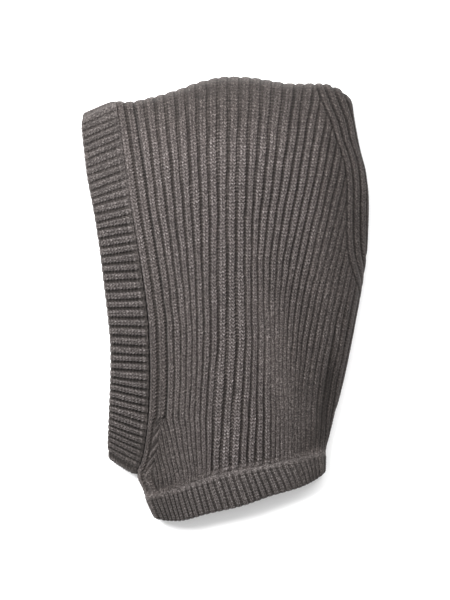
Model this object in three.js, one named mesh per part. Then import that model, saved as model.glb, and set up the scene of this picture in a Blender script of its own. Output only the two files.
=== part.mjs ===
// A knitted hood that lies flat on its side: a ribbed body, a doubled band round the face and a folded neck hem.
// Millimetres. The hood's top points along +Y, its face opening along -X, its back along +X,
// and +Z points up from the surface that it lies on. The origin is under the middle of its box.
import * as THREE from 'three';

// Driving sizes
const WALL = 4.4;            // rib crest to inner face of the body's knit
const GROOVE = 1.5;          // depth of the groove between two ribs of the body
const FOLD_R = 6.6;          // outer radius of the body's folded edges
const BAND_T = 7.4;          // doubled rib of the face band
const HEM_T = 7.0;           // folded rib of the neck hem
const EDGE_GROOVE = 1.1;     // groove depth in band and hem
const SEAM_GAP = 0.4;        // air between two pieces that are linked together
const LIFT = 1.5;            // the body's under side lies this high beside the thicker band and hem
const BAND_PITCH = 7.1;      // rib pitch along the face opening
const HEM_PITCH = 4.9;       // rib pitch along the neck
const PUFF = 31;             // how far the air inside lifts the upper side over the folded thickness
const BAND_GAPE = 13;        // how far the face opening gapes at its middle
const HEM_GAPE = 12;         // how far the neck gapes at its middle
const FOLD_ARC = FOLD_R * Math.PI / 2;
const FOLD_EXTRA = FOLD_ARC - FOLD_R;   // fabric that a fold takes beyond its outline
const CHIN_Y = -151;         // where the throat fold ends and the face opening starts
const OPENING_RUN = 10;      // the two sides part over this height above the chin
const FRONT_STRIP = 16;      // width of the two ribs that follow the face band
const SPLIT_Y = -90;         // below this height the throat's shaping marks start
const FAN_PITCH = 4.6;       // rib pitch beside the throat's shaping marks
const MIDDLE = { x: 0.58, y: 0.1 };     // middle of the whole outline, which becomes the origin
const WOOL = 0x6b6461;

// Outline of the body as seen from above. Each row is a point that the edge runs through.
const FRONT_EDGE = [         // throat fold, chin, then the band's seam up to the forehead
  { y: -170, x: -67 }, { y: -164, x: -69.4 }, { y: -151, x: -75.8 }, { y: -133.7, x: -71 }, { y: -104, x: -66.7 },
  { y: -65, x: -65 }, { y: -26, x: -65.8 }, { y: 0, x: -68.4 }, { y: 25, x: -71.8 }, { y: 77, x: -80.4 },
  { y: 120, x: -86.4 }, { y: 172, x: -94.2 },
];
const BACK_EDGE = [          // neck, hollow above the neck, back of the head, crown corner
  { y: -131, x: 87.3 }, { y: -108, x: 92.4 }, { y: -67, x: 103.2 }, { y: -26, x: 111.8 }, { y: 16, x: 119.3 },
  { y: 47, x: 122.7 }, { y: 83, x: 123.8 }, { y: 108, x: 121.6 }, { y: 130, x: 116.2 }, { y: 160, x: 110.6 },
  { y: 176, x: 107.9 },
];
const TOP_EDGE = [           // forehead, crown, shallow dip, crown corner
  { x: -94.2, y: 171.6 }, { x: -84, y: 170.8 }, { x: -64, y: 173.8 }, { x: -40, y: 180.6 }, { x: -21, y: 187 },
  { x: 3, y: 191 }, { x: 19, y: 191.2 }, { x: 39, y: 188.4 }, { x: 57, y: 185.6 }, { x: 84, y: 185.8 },
  { x: 98, y: 181.5 }, { x: 108, y: 175 },
];
const NECK_LINE = [          // where the hem is linked on, from the throat to the back
  { x: -67, y: -170 }, { x: -42.6, y: -162.5 }, { x: -21, y: -154.4 }, { x: 4.7, y: -147 }, { x: 30, y: -142.6 },
  { x: 62, y: -136 }, { x: 87.3, y: -131 },
];

// Free edges of the band and the hem, each row by the place on the seam that its rib starts from
const BAND_EDGE = [
  { seam: -151, x: -101.2, y: -134.6 }, { seam: -120, x: -100.2, y: -108 }, { seam: -52, x: -98.5, y: -50 },
  { seam: 25, x: -105.4, y: 22 }, { seam: 77, x: -111.8, y: 70 }, { seam: 120, x: -118.3, y: 108 },
  { seam: 172, x: -122.7, y: 158.7 },
];
const HEM_EDGE = [
  { seam: -67, x: -56, y: -190 }, { seam: -48.6, x: -40.9, y: -191 }, { seam: -21, x: -12.5, y: -185.3 },
  { seam: 4.7, x: 15, y: -179.3 }, { seam: 30, x: 40, y: -171 }, { seam: 58, x: 66.7, y: -162.5 },
  { seam: 87.3, x: 84.7, y: -151.8 },
];

// Lines that the ribs follow: the one rib that runs straight up, and the two shaping lines where ribs end
const STRAIGHT_RIB = [
  { y: -152, x: -11.6 }, { y: -110, x: -10 }, { y: -78, x: -8.2 }, { y: -26, x: -5.6 }, { y: 190, x: -5.6 },
];
const THROAT_RIB = [         // the last rib line that reaches the top beside the throat's fan
  { y: -163, x: -36.5 }, { y: -149, x: -38.3 }, { y: -127, x: -44.5 }, { y: -108, x: -47.6 },
  { y: -90, x: -49.4 },
];
const THROAT_MARKS = [
  { y: -163, x: -58 }, { y: -151, x: -59.8 }, { y: -140, x: -59.8 }, { y: -129, x: -58 }, { y: -120, x: -56.3 },
  { y: -110, x: -55 }, { y: -100, x: -52.9 }, { y: -90, x: -49.4 },
];
const CROWN_MARKS = [
  { y: -140, x: 97.6 }, { y: 0, x: 97.2 }, { y: 24, x: 97.8 }, { y: 51, x: 102.8 }, { y: 73, x: 105.4 },
  { y: 94, x: 105.2 }, { y: 114, x: 103.6 }, { y: 127, x: 100.2 }, { y: 138, x: 95.9 }, { y: 150, x: 92.5 },
  { y: 166, x: 85.6 }, { y: 184, x: 78.7 },
];

// Soft swellings and hollows of the upper side
const DENTS = [
  { x: 53, y: -72, long: 62, wide: 13, turn: 100, rise: 4 },     // ridge that runs down to the hem
  { x: 5, y: 60, long: 90, wide: 22, turn: 92, rise: 3 },        // ridge down from the crown
  { x: 87, y: -84, long: 26, wide: 13, turn: 75, rise: -6 },     // hollow above the neck
  { x: -62, y: -138, long: 22, wide: 12, turn: 110, rise: -4 },  // hollow at the throat
  { x: 78, y: 70, long: 45, wide: 20, turn: 70, rise: 2.5 },     // back of the head
];

const smooth = (from, to, value) => {
  const t = Math.min(1, Math.max(0, (value - from) / (to - from)));
  return t * t * (3 - 2 * t);
};
const mix = (a, b, t) => a + (b - a) * t;

// Smooth curve through the rows of a table, without overshoot
function curve(rows, along, across) {
  const last = rows.length - 1;
  const slope = (i) => (rows[i + 1][across] - rows[i][across]) / (rows[i + 1][along] - rows[i][along]);
  const tangents = rows.map((row, i) => {
    if (i === 0) return slope(0);
    if (i === last) return slope(last - 1);
    const before = slope(i - 1);
    const after = slope(i);
    return before * after <= 0 ? 0 : 2 * before * after / (before + after);
  });
  return (value) => {
    if (value <= rows[0][along]) return rows[0][across] + tangents[0] * (value - rows[0][along]);
    if (value >= rows[last][along]) return rows[last][across] + tangents[last] * (value - rows[last][along]);
    let i = 0;
    while (rows[i + 1][along] < value) i += 1;
    const run = rows[i + 1][along] - rows[i][along];
    const t = (value - rows[i][along]) / run;
    const square = t * t;
    const cube = square * t;
    return (2 * cube - 3 * square + 1) * rows[i][across] + (cube - 2 * square + t) * run * tangents[i]
      + (3 * square - 2 * cube) * rows[i + 1][across] + (cube - square) * run * tangents[i + 1];
  };
}

const NECK_FROM = NECK_LINE[0].x;
const NECK_TO = NECK_LINE.at(-1).x;
const FOREHEAD_Y = 171.6;

const frontAt = curve(FRONT_EDGE, 'y', 'x');
const backAt = curve(BACK_EDGE, 'y', 'x');
const topAt = curve(TOP_EDGE, 'x', 'y');
const neckAt = curve(NECK_LINE, 'x', 'y');
const straightAt = curve(STRAIGHT_RIB, 'y', 'x');
const throatRibAt = curve(THROAT_RIB, 'y', 'x');
const throatMarksAt = curve(THROAT_MARKS, 'y', 'x');
const crownMarksAt = curve(CROWN_MARKS, 'y', 'x');

// Rib lines. Each gives x for a height y, on the fabric laid flat, so an edge fold adds its extra fabric.
const MAIN_FIRST = -13;
const MAIN_LAST = 17;
const BACK_RIBS = 5;
const throatClosed = (y) => 1 - smooth(CHIN_Y, CHIN_Y + OPENING_RUN, y);
const innerLine = (y) => (y > SPLIT_Y ? frontAt(y) + FRONT_STRIP : throatRibAt(y));
const throatLine = (y) => (y > SPLIT_Y ? frontAt(y) + FRONT_STRIP : throatMarksAt(y));
const flatBack = (y) => backAt(y) + FOLD_EXTRA;

function pitchRight(rib, y) {
  const crown = 9.3 - 2 * smooth(5, 9, rib);
  const neck = 8 - 3.1 * smooth(2.5, 7, rib) + 1.1 * smooth(9, 13, rib);
  return mix(crown, neck, smooth(167, 30, y));
}

function weightLeft(rib, y) {
  const middle = (rib + 4) / 2.2;
  return 1 - 0.3 * smooth(94, -50, y) * Math.exp(-middle * middle);
}

function mainLine(rib, y) {
  if (rib < -8) return innerLine(y) + (rib + 8) * FAN_PITCH;
  if (rib >= 0) {
    let x = straightAt(y);
    for (let i = 0; i < rib; i += 1) x += pitchRight(i + 0.5, y);
    return x;
  }
  let whole = 0;
  let part = 0;
  for (let i = -8; i < 0; i += 1) {
    const weight = weightLeft(i + 0.5, y);
    whole += weight;
    if (i < rib) part += weight;
  }
  return mix(innerLine(y), straightAt(y), part / whole);
}

function clippedMainLine(rib, y) {
  const x = Math.max(mainLine(rib, y), throatLine(y));
  return Math.min(x, crownMarksAt(y), flatBack(y));
}

function frontStripLine(rib, y) {
  const edge = frontAt(y) - FOLD_EXTRA * throatClosed(y);
  return mix(edge, throatLine(y), rib / 2);
}

function backStripLine(rib, y) {
  const pitch = 6.1 + 1.5 * smooth(127, 170, y);
  return Math.min(crownMarksAt(y) + rib * pitch, flatBack(y));
}

// One entry for each rib from the front edge to the back fold: its two boundary lines
const RIBS = [];
for (let rib = 0; rib < 2; rib += 1) {
  RIBS.push([(y) => frontStripLine(rib, y), (y) => frontStripLine(rib + 1, y)]);
}
for (let rib = MAIN_FIRST; rib < MAIN_LAST; rib += 1) {
  RIBS.push([(y) => clippedMainLine(rib, y), (y) => clippedMainLine(rib + 1, y)]);
}
for (let rib = 0; rib < BACK_RIBS; rib += 1) {
  RIBS.push([(y) => backStripLine(rib, y), (y) => backStripLine(rib + 1, y)]);
}

// Height of the upper side over the folded thickness, at a place seen from above
function puff(x, y) {
  const fromBack = Math.max(0, backAt(y) - x);
  const fromTop = Math.max(0, topAt(x) - y);
  const fromFront = Math.max(0, x - frontAt(y));
  const fromNeck = Math.max(0, y - neckAt(x));
  const folds = (1 - Math.exp(-fromBack / 30)) * (1 - Math.exp(-fromTop / 34));
  const front = Math.exp(-fromFront / 26);
  const neck = Math.exp(-fromNeck / 30);
  const faceShare = Math.min(1, Math.max(0, (y - CHIN_Y) / (topAt(frontAt(y)) - CHIN_Y)));
  const neckShare = Math.min(1, Math.max(0, (x - NECK_FROM) / (NECK_TO - NECK_FROM)));
  let height = PUFF * folds * (1 - front) * (1 - neck);
  height += BAND_GAPE * Math.sin(Math.PI * faceShare) ** 0.8 * front;
  height += HEM_GAPE * Math.sin(Math.PI * neckShare) ** 0.8 * neck;
  for (const dent of DENTS) {
    const turn = dent.turn * Math.PI / 180;
    const long = ((x - dent.x) * Math.cos(turn) + (y - dent.y) * Math.sin(turn)) / dent.long;
    const wide = ((y - dent.y) * Math.cos(turn) - (x - dent.x) * Math.sin(turn)) / dent.wide;
    height += dent.rise * Math.exp(-long * long - wide * wide) * folds * (1 - front) * (1 - neck);
  }
  return height;
}

function lift(x, y) {
  const fromFront = (x - frontAt(y)) / 14;
  const fromNeck = (y - neckAt(x)) / 14;
  return LIFT * Math.max(Math.exp(-fromFront * fromFront), Math.exp(-fromNeck * fromNeck));
}

// How a fold bends fabric that lies `flat` from the fold's middle: the distance from the outline, and the turn
function foldAt(flat) {
  if (flat >= FOLD_ARC) return { inward: flat - FOLD_EXTRA, turn: Math.PI / 2 };
  const turn = Math.max(0, flat) / FOLD_R;
  return { inward: FOLD_R * (1 - Math.cos(turn)), turn };
}

const rise = (line, at) => line(at + 0.5) - line(at - 0.5);

// A point of the body: share of the way across a rib, share of the way up it, and the side (1 upper, -1 lower)
function bodyPoint(rib, share, up, side) {
  let x = 0;
  let y = mix(-150, 185, up);
  let width = 0;
  let back;
  let top;
  let throat;
  for (let turn = 0; turn < 14; turn += 1) {
    const left = RIBS[rib][0](y);
    const right = RIBS[rib][1](y);
    width = right - left;
    const flatX = mix(left, right, share);
    back = foldAt(flatBack(y) - flatX);
    const throatFold = foldAt(flatX - frontAt(y) + FOLD_EXTRA);
    throat = { turn: mix(Math.PI / 2, throatFold.turn, throatClosed(y)) };
    x = flatBack(y) - flatX < FOLD_ARC ? backAt(y) - back.inward : flatX;
    if (flatX - frontAt(y) + FOLD_EXTRA < FOLD_ARC) {
      x = mix(flatX, frontAt(y) + throatFold.inward, throatClosed(y));
    }
    const flatY = mix(neckAt(x), topAt(x) + FOLD_EXTRA, up);
    top = foldAt(topAt(x) + FOLD_EXTRA - flatY);
    y = topAt(x) - top.inward;
  }
  const open = Math.sin(back.turn) * Math.sin(top.turn) * Math.sin(throat.turn);
  const step = 0.5;
  const base = lift(x, y) + FOLD_R;
  const height = side > 0 ? (FOLD_R + puff(x, y)) * open : -FOLD_R * open;
  const fromFace = smooth(0, 10, x - frontAt(y));   // the knit's wall ends flush with both linked edges
  const fromNeck = smooth(0, 10, y - neckAt(x));
  const slope = new THREE.Vector3(0, 0, side);
  if (side > 0) {
    slope.x = fromFace * fromNeck * (puff(x - step, y) - puff(x + step, y)) / (2 * step);
    slope.y = fromFace * fromNeck * (puff(x, y - step) - puff(x, y + step)) / (2 * step);
  }
  const normal = slope.multiplyScalar(open);
  const neckSlope = rise(neckAt, x);
  const backLean = mix(neckSlope, -rise(backAt, y), fromNeck);
  const topLean = mix(rise(frontAt, y), -rise(topAt, x), fromFace);
  const throatLean = mix(-neckSlope, rise(frontAt, y), fromNeck);
  const backOut = new THREE.Vector3(1, backLean, 0).normalize();
  const topOut = new THREE.Vector3(topLean, 1, 0).normalize();
  const throatOut = new THREE.Vector3(-1, throatLean, 0).normalize();
  normal.addScaledVector(backOut, Math.cos(back.turn));
  normal.addScaledVector(topOut, Math.cos(top.turn));
  normal.addScaledVector(throatOut, Math.cos(throat.turn));
  normal.normalize();
  return { place: new THREE.Vector3(x, y, base + height), normal, width };
}

// A closed mesh put together from triangles whose shared corners are merged
class Shell {
  constructor() {
    this.corners = [];
    this.index = new Map();
    this.faces = [];
  }

  corner(point) {
    const key = [point.x, point.y, point.z].map((value) => Math.round(value * 500)).join(' ');
    if (!this.index.has(key)) {
      this.index.set(key, this.corners.length);
      this.corners.push(point);
    }
    return this.index.get(key);
  }

  triangle(a, b, c) {
    if (a !== b && b !== c && a !== c) this.faces.push([a, b, c]);
  }

  quad(a, b, c, d) {
    this.triangle(a, b, c);
    this.triangle(a, c, d);
  }

  geometry() {
    const positions = this.corners.flatMap((point) => [point.x, point.y, point.z]);
    const geometry = new THREE.BufferGeometry();
    geometry.setAttribute('position', new THREE.Float32BufferAttribute(positions, 3));
    geometry.setIndex(this.faces.flat());
    geometry.computeVertexNormals();
    return geometry;
  }
}

const namedMesh = (name, geometry) => {
  const material = new THREE.MeshStandardMaterial({ color: WOOL, roughness: 0.95, metalness: 0 });
  const mesh = new THREE.Mesh(geometry, material);
  mesh.name = name;
  return mesh;
};

// Rows up the body, as shares of the way from the hem to the middle of the top fold
const CHIN_SHARE = 0.0565;
const BODY_ROWS = [0, CHIN_SHARE / 2, CHIN_SHARE, 0.09, 0.15, 0.24, 0.34, 0.45, 0.56, 0.67, 0.78, 0.87, 0.935,
  0.968, 0.98, 0.99, 1];
const CHIN_ROW = 2;
const RIB_SHARES = [0, 0.26, 0.74];   // groove, then the two shoulders of the crest

function bodyGeometry() {
  const shell = new Shell();
  const columns = RIBS.flatMap((lines, rib) => RIB_SHARES.map((share) => ({ rib, share })));
  columns.push({ rib: RIBS.length - 1, share: 1 });
  const outer = {};
  const inner = {};
  for (const side of [1, -1]) {
    outer[side] = columns.map(({ rib, share }) => BODY_ROWS.map((up) => {
      const point = bodyPoint(rib, share, up, side);
      const crest = share > 0 && share < 1 ? smooth(0, 3, point.width) : 0;
      return shell.corner(point.place.addScaledVector(point.normal, -GROOVE * (1 - crest)));
    }));
    inner[side] = columns.filter((column, i) => i % 3 === 0).map(({ rib, share }) => BODY_ROWS.map((up) => {
      const point = bodyPoint(rib, share, up, side);
      return shell.corner(point.place.addScaledVector(point.normal, -WALL));
    }));
  }
  const facing = (side, a, b, c, d) => (side > 0 ? shell.quad(a, b, c, d) : shell.quad(d, c, b, a));
  for (const side of [1, -1]) {
    for (let j = 0; j + 1 < BODY_ROWS.length; j += 1) {
      for (let i = 0; i + 1 < columns.length; i += 1) {
        const face = outer[side];
        facing(side, face[i][j], face[i + 1][j], face[i + 1][j + 1], face[i][j + 1]);
      }
      for (let i = 0; i < RIBS.length; i += 1) {
        const face = inner[side];
        facing(-side, face[i][j], face[i + 1][j], face[i + 1][j + 1], face[i][j + 1]);
      }
      if (j >= CHIN_ROW) {
        facing(side, inner[side][0][j + 1], inner[side][0][j], outer[side][0][j], outer[side][0][j + 1]);
      }
    }
    for (let i = 0; i < RIBS.length; i += 1) {
      const rim = outer[side].slice(3 * i, 3 * i + 4).map((column) => column[0]);
      const near = inner[side][i][0];
      const far = inner[side][i + 1][0];
      const fan = (a, b, c) => (side > 0 ? shell.triangle(a, b, c) : shell.triangle(c, b, a));
      fan(near, far, rim[3]);
      for (let k = 2; k >= 0; k -= 1) fan(near, rim[k + 1], rim[k]);
    }
  }
  return shell.geometry();
}

// A ribbed strip that runs in a closed loop: along the upper side, round a fold, back along the lower side
function loopStrip({ from, to, thickness, pitch, seamPoint, edgePoint, handed }) {
  const radius = FOLD_R + LIFT - thickness / 2;
  const inset = radius + thickness / 2;
  const straight = to - from - 2 * inset;
  const halfTurn = Math.PI * radius;
  const total = 2 * straight + 2 * halfTurn;
  const ribs = Math.round(total / pitch);

  const along = (travel) => {
    let rest = ((travel % total) + total) % total;
    if (rest < straight) return { at: from + inset + rest, height: radius, upper: 1 };
    rest -= straight;
    if (rest < halfTurn) {
      const turn = rest / radius;
      return { at: to - inset + radius * Math.sin(turn), height: radius * Math.cos(turn), upper: Math.cos(turn) };
    }
    rest -= halfTurn;
    if (rest < straight) return { at: to - inset - rest, height: -radius, upper: -1 };
    rest -= straight;
    const turn = rest / radius;
    return { at: from + inset - radius * Math.sin(turn), height: -radius * Math.cos(turn), upper: -Math.cos(turn) };
  };

  const centre = (travel, share) => {
    const { at, height, upper } = along(travel);
    const seam = seamPoint(at);
    const edge = edgePoint(at);
    const gape = puff(seam.x, seam.y) * Math.max(0, upper) * (1 - 0.3 * share);
    return new THREE.Vector3(mix(seam.x, edge.x, share), mix(seam.y, edge.y, share),
      radius + thickness / 2 + height + gape);
  };

  const shell = new Shell();
  const rings = [];
  for (let station = 0; station < 2 * ribs; station += 1) {
    const travel = station * total / (2 * ribs);
    const half = thickness / 2 - (station % 2) * EDGE_GROOVE;
    const width = centre(travel, 0).distanceTo(centre(travel, 1));
    const section = [
      [0, half], [width - half, half], [width - 0.3 * half, 0.7 * half], [width, 0],
      [width - 0.3 * half, -0.7 * half], [width - half, -half], [0, -half],
    ];
    rings.push(section.map(([across, out]) => {
      const share = across / width;
      const tangent = centre(travel + 0.5, share).sub(centre(travel - 0.5, share));
      const sideways = centre(travel, 1).sub(centre(travel, 0));
      const normal = tangent.cross(sideways).normalize().multiplyScalar(handed);
      if (across === 0) normal.projectOnPlane(new THREE.Vector3(0, 0, 1).cross(
        new THREE.Vector3().subVectors(seamPoint(along(travel).at + 1), seamPoint(along(travel).at - 1))).normalize());
      return shell.corner(centre(travel, share).addScaledVector(normal, out));
    }));
  }
  const count = rings[0].length;
  for (let i = 0; i < rings.length; i += 1) {
    const next = rings[(i + 1) % rings.length];
    for (let k = 0; k < count; k += 1) {
      const up = (k + 1) % count;
      if (handed > 0) shell.quad(rings[i][k], next[k], next[up], rings[i][up]);
      else shell.quad(rings[i][up], next[up], next[k], rings[i][k]);
    }
  }
  return shell.geometry();
}

function bandGeometry() {
  const seamRows = BODY_ROWS.slice(CHIN_ROW).map((up) => {
    const { place } = bodyPoint(0, 0, up, 1);
    return { x: place.x, y: place.y };
  });
  const seamPoint = (y) => {
    let i = 0;
    while (i + 2 < seamRows.length && seamRows[i + 1].y < y) i += 1;
    const share = (y - seamRows[i].y) / (seamRows[i + 1].y - seamRows[i].y);
    return new THREE.Vector3(mix(seamRows[i].x, seamRows[i + 1].x, share) - SEAM_GAP, y, 0);
  };
  const edgeX = curve(BAND_EDGE, 'seam', 'x');
  const edgeY = curve(BAND_EDGE, 'seam', 'y');
  const edgePoint = (y) => new THREE.Vector3(edgeX(y), edgeY(y), 0);
  return loopStrip({
    from: CHIN_Y, to: FOREHEAD_Y, thickness: BAND_T, pitch: BAND_PITCH, seamPoint, edgePoint, handed: 1,
  });
}

function hemGeometry() {
  const seamPoint = (x) => new THREE.Vector3(x, neckAt(x) - SEAM_GAP, 0);
  const edgeX = curve(HEM_EDGE, 'seam', 'x');
  const edgeY = curve(HEM_EDGE, 'seam', 'y');
  const edgePoint = (x) => new THREE.Vector3(edgeX(x), edgeY(x), 0);
  return loopStrip({
    from: NECK_FROM, to: NECK_TO, thickness: HEM_T, pitch: HEM_PITCH, seamPoint, edgePoint, handed: -1,
  });
}

const hood = new THREE.Group();
hood.add(namedMesh('hood_body', bodyGeometry()));
hood.add(namedMesh('face_band', bandGeometry()));
hood.add(namedMesh('neck_hem', hemGeometry()));
hood.position.set(-MIDDLE.x, -MIDDLE.y, 0);
export default hood;
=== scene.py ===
"""A knitted hood that lies flat on its side, dressed as rib knit in heathered wool.

The hood's top points along +Y, its face opening along -X, its back along +X, and +Z points up from the
floor. Sizes in the tables below are millimetres in the hood's own outline, and MM turns them into metres.
"""

import math

import bmesh
import bpy
import numpy as np
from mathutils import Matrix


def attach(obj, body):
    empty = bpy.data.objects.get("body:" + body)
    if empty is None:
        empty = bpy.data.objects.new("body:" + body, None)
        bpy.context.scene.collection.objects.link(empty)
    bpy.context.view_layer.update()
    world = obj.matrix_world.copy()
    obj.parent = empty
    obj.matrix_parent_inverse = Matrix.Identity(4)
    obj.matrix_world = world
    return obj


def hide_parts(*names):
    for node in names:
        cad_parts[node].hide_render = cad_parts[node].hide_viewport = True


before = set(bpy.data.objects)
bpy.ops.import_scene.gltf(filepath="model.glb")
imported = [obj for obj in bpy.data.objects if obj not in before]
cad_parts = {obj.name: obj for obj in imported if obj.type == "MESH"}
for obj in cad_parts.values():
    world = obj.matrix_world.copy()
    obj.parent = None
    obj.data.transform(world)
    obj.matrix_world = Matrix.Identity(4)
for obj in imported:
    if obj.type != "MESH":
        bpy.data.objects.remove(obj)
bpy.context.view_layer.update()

MM = 0.001

# Fabric sizes, as the solid hood has them
WALL = 4.4            # rib crest to inner face of the body's knit
FOLD_R = 6.6          # outer radius of the body's folded edges
BAND_T = 7.4          # doubled rib of the face band
HEM_T = 7.0           # folded rib of the neck hem
SEAM_GAP = 0.05       # air between two pieces that are linked together
ON_FLOOR = 0.02       # nothing lies lower than this
LIFT = 1.5            # the body's under side lies this high beside the thicker band and hem
LIFT_REACH = 14       # and comes down to the floor over about this length
PUFF = 31             # how far the air inside lifts the upper side over the folded thickness
BACK_REACH = 30       # over about this length it rises from the back fold
TOP_REACH = 34        # from the top fold
FRONT_REACH = 26      # from the face opening
NECK_REACH = 30       # and from the neck
BAND_GAPE = 13        # how far the face opening gapes at its middle
HEM_GAPE = 12         # how far the neck gapes at its middle
GAPE_POWER = 0.8      # how fast both close towards their ends
FOLD_ARC = FOLD_R * math.pi / 2
FOLD_EXTRA = FOLD_ARC - FOLD_R
FOREHEAD_Y = 171.6    # where the face opening ends at the top
CHIN_Y = -151         # where the throat fold ends and the face opening starts
OPENING_RUN = 10      # the two sides part over this height above the chin
MIDDLE = (0.58, 0.1)  # middle of the whole outline, which is the origin

# Outline of the body as seen from above
FRONT_EDGE = dict(
    y=[-170, -164, -151, -133.7, -104, -65, -26, 0, 25, 77, 120, 172],
    x=[-68.6, -71, -75.8, -71, -66.7, -65, -65.8, -68.4, -71.8, -80.4, -86.4, -94.2],
)
BACK_EDGE = dict(
    y=[-131, -108, -67, -26, 16, 47, 83, 108, 130, 160, 168, 174],
    x=[87.6, 93.4, 104, 112.4, 120.3, 123.8, 124.9, 122.7, 117.4, 112, 111, 109],
)
TOP_EDGE = dict(
    x=[-94.2, -84, -64, -40, -21, 3, 19, 39, 57, 84, 98, 103, 108],
    y=[171.6, 171, 174.7, 181.6, 188.4, 192.7, 192.3, 189.4, 186.7, 186.8, 182.6, 179.4, 174],
)
NECK_LINE = dict(
    x=[-68.6, -42.6, -21, 4.7, 30, 62, 87.3],
    y=[-170, -162.5, -154.4, -147, -142.6, -136, -131],
)

# Free edges of the band and the hem, by the place on the seam that a rib starts from
BAND_EDGE = dict(
    seam=[-151, -120, -52, 25, 77, 120, 172],
    x=[-101.2, -100, -98, -104.7, -111.5, -118.6, -124.5],
    y=[-134.6, -108, -50, 22, 70, 108, 159.2],
)
HEM_EDGE = dict(
    seam=[-68.6, -48.6, -21, 4.7, 30, 58, 87.3],
    x=[-58.5, -40.9, -12.5, 15, 40, 66.7, 85.5],
    y=[-190, -190.2, -183.4, -177, -168.4, -160.6, -150.8],
)

# Where the ribs of the hem and the band crowd: places that even ribs would have, and the places they have
HEM_CROWDING = dict(even=[-68.6, -42, -16, 23, 61, 87.3], x=[-68.6, -47.5, -25, 20, 64, 87.3])
BAND_CROWDING = dict(
    even=[-151, -143, -108, -73, -38, -4, 101, 135, 171.6],
    x=[-151, -145, -119, -85, -48.5, -9.5, 107, 140, 171.6],
)

# Lines that the ribs follow: the rib that runs straight up, and the shaping lines where ribs end
STRAIGHT_RIB = dict(y=[-152, -110, -78, -26, 190], x=[-11.6, -10, -8.2, -5.6, -5.6])
THROAT_RIB = dict(y=[-163, -149, -134, -125, -112, -100], x=[-36.5, -38.8, -42.6, -44.7, -47.4, -50.6])
THROAT_MARKS = dict(
    y=[-163, -151, -144, -136, -126, -115, -107, -103, -100],
    x=[-57, -61.6, -61.4, -60, -57.8, -56.5, -55.4, -53.6, -50.6],
)
CROWN_MARKS = dict(
    y=[-140, -10, 24, 42, 60, 77, 94, 114, 127, 138, 150, 166, 184],
    x=[124, 122, 110.5, 106, 105, 105, 105.2, 103.6, 100.2, 95.9, 92.5, 85.6, 78.7],
)

# Ribs to the right of the straight one: how far away rib 3, 7, 11, 15 and 21 run, at each of these heights
SPREAD_RIBS = [0, 3, 7, 11, 15, 21]
SPREAD_Y = [-150, -112, -78, -43, -9, 25, 60, 94, 129, 163]
SPREAD = [
    [0, 0, 0, 0, 0, 0, 0, 0, 0, 0],
    [23.8, 24.2, 24.4, 24.2, 23.8, 23.3, 23.2, 24.3, 25.8, 27.5],
    [51, 50.3, 48, 45.6, 44.2, 44.4, 47.6, 53.2, 59, 63.5],
    [66, 65.2, 62.4, 59.4, 60.4, 65.8, 73.4, 81, 88, 95],
    [77, 76, 74.6, 76, 82, 90, 98.5, 107, 115, 124],
    [101, 102, 104, 109, 115, 122, 131, 142, 152, 166],
]

# Soft swellings and hollows of the upper side: place, length, width, turn in degrees, rise
DENTS = [
    (53, -72, 62, 13, 100, 3),      # ridge that runs down to the hem
    (5, 60, 90, 22, 92, 3),         # ridge down from the crown
    (86, -83, 24, 12, 78, -10),     # hollow above the neck
    (-62, -138, 22, 12, 110, -4),   # hollow at the throat
    (78, 70, 45, 20, 70, 2.5),      # back of the head
    (90, -66, 55, 3.5, 83.4, -3),   # crease beside the back fold
]

# Places where the ribs hardly show: place, length, width, turn in degrees, share of the relief that is lost
EVEN_SPOTS = [
    (68, -104, 46, 24, 96, 0.66),   # above the hem's right end
    (44, -48, 52, 16, 100, 0.45),   # left of the hollow above the neck
    (92, 44, 66, 20, 82, 0.52),     # back of the head
    (-30, -151, 16, 9, 20, 0.5),    # beside the throat's fan
    (114, 10, 34, 10, 94, 0.6),     # where the back fold's ribs end
    (10, 186, 140, 12, 4, 0.5),     # over the crown
    (90, -42, 52, 18, 80, 0.35),    # along the back fold, above the hollow
    (-72, -153, 15, 8, 60, 0.35),   # at the chin
    (-65, -160, 13, 8, 60, 0.3),    # below it
    (92, 150, 60, 30, 95, 0.22),    # beside the crown's shaping marks
]

# Painted shade: spots where the colour is darkened because the creases, hollows and slopes there lie in
# shade: place, length, width, turn in degrees, and share of the lightness taken away, which is below zero
# for painted light where a place catches more light
PAINTED_SHADE_SPOTS = [
    (89, -86, 36, 9, 80, 0.7),      # under the back fold, above the neck
    (104, -40, 44, 8, 78, 0.35),    # along the back fold
    (117, 36, 60, 8, 90, 0.25),     # the back fold higher up
    (-70, -136, 28, 12, 68, 0.3),   # at the throat's fold
    (-60, -55, 110, 13, 89, 0.3),   # the ribs beside the band
    (-58, -90, 60, 12, 89, 0.2),    # their lower part
    (-60, -166, 18, 14, 0, 0.36),   # the throat above the hem
    (-46, -75, 90, 16, 88, 0.16),   # the ribs to the right of the band's
    (-48, -150, 30, 24, 60, 0.14),  # the throat's fan
    (10, 188, 160, 48, 4, 0.46),    # the slope up to the crown
    (10, 192, 160, 22, 5, 0.3),     # the crown's fold
    (80, -78, 30, 20, 80, 0.16),    # the hollow above the neck
    (80, -130, 26, 18, 80, 0.62),   # between the hollow and the hem
    (108, 74, 125, 28, 92, 0.42),   # the side that turns away to the back
    (72, -40, 66, 18, 88, 0.2),     # the slope down to the hollow
    (90, -66, 58, 2.4, 83.4, 0.6),  # a crease beside the back fold
    (84, 138, 60, 38, 95, 0.2),     # beside the crown's shaping marks
    (60, 0, 75, 32, 88, 0.12),      # the slope to the back of the head
    (-75, 105, 62, 8, 97, 0.16),    # beside the band's upper seam
    (-4, -125, 60, 26, 15, -0.13),  # the ribs above the hem, which catch more light
]


def smooth(start, end, value):
    t = np.clip((value - start) / (end - start), 0, 1)
    return t * t * (3 - 2 * t)


def mix(a, b, t):
    return a + (b - a) * t


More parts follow.
